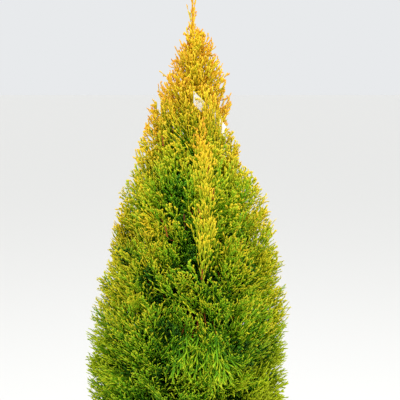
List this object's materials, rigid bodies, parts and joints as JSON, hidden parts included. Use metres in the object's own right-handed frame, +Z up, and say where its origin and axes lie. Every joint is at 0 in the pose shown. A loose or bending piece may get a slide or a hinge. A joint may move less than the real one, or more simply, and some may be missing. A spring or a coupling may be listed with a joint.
{
  "type": "golden thuja in a nursery pot",
  "caption": "Young golden-green conical thuja with flat feathery sprays on rising boughs, standing in a plain dark round nursery pot filled with soil.",
  "frame": {"origin": "centre of the flat underside of the pot", "axes": "+Z up along the pot's axis and the trunk, -Y towards the front of the plant as it is pictured, +X to the right seen from the front"},
  "size_m": [0.3048, 0.3113, 0.994],
  "materials": {
    "pot": "dark grey moulded plastic",
    "soil": "damp potting soil",
    "bark": "thin red-brown bark",
    "label": "blank white plastic strip",
    "foliage_low": "green sprays with yellow tips",
    "foliage_middle": "yellow-green sprays",
    "foliage_high": "golden sprays with orange tips"
  },
  "bodies": {
    "root": {"bough_lower_1": "bark", "bough_lower_2": "bark", "bough_lower_3": "bark", "bough_lower_4": "bark", "bough_lower_5": "bark", "bough_lower_6": "bark", "bough_middle_1": "bark", "bough_middle_2": "bark", "bough_middle_3": "bark", "bough_middle_4": "bark", "bough_middle_5": "bark", "bough_middle_6": "bark", "bough_skirt_1": "bark", "bough_skirt_2": "bark", "bough_skirt_3": "bark", "bough_skirt_4": "bark", "bough_skirt_5": "bark", "bough_skirt_6": "bark", "foliage_crest_1": "foliage_high", "foliage_crest_2": "foliage_high", "foliage_crest_3": "foliage_high", "foliage_high_1": "foliage_high", "foliage_high_2": "foliage_high", "foliage_high_3": "foliage_high", "foliage_high_4": "foliage_high", "foliage_lower_1": "foliage_low", "foliage_lower_2": "foliage_low", "foliage_lower_3": "foliage_low", "foliage_lower_4": "foliage_low", "foliage_lower_5": "foliage_low", "foliage_lower_6": "foliage_low", "foliage_middle_1": "foliage_middle", "foliage_middle_2": "foliage_middle", "foliage_middle_3": "foliage_middle", "foliage_middle_4": "foliage_middle", "foliage_middle_5": "foliage_middle", "foliage_middle_6": "foliage_middle", "foliage_skirt_1": "foliage_low", "foliage_skirt_2": "foliage_low", "foliage_skirt_3": "foliage_low", "foliage_skirt_4": "foliage_low", "foliage_skirt_5": "foliage_low", "foliage_skirt_6": "foliage_low", "foliage_top_1": "foliage_high", "foliage_top_2": "foliage_high", "foliage_upper_1": "foliage_middle", "foliage_upper_2": "foliage_middle", "foliage_upper_3": "foliage_middle", "foliage_upper_4": "foliage_middle", "foliage_upper_5": "foliage_middle", "label": "label", "pot": "pot", "soil": "soil", "trunk": "bark"}
  },
  "joints": []
}
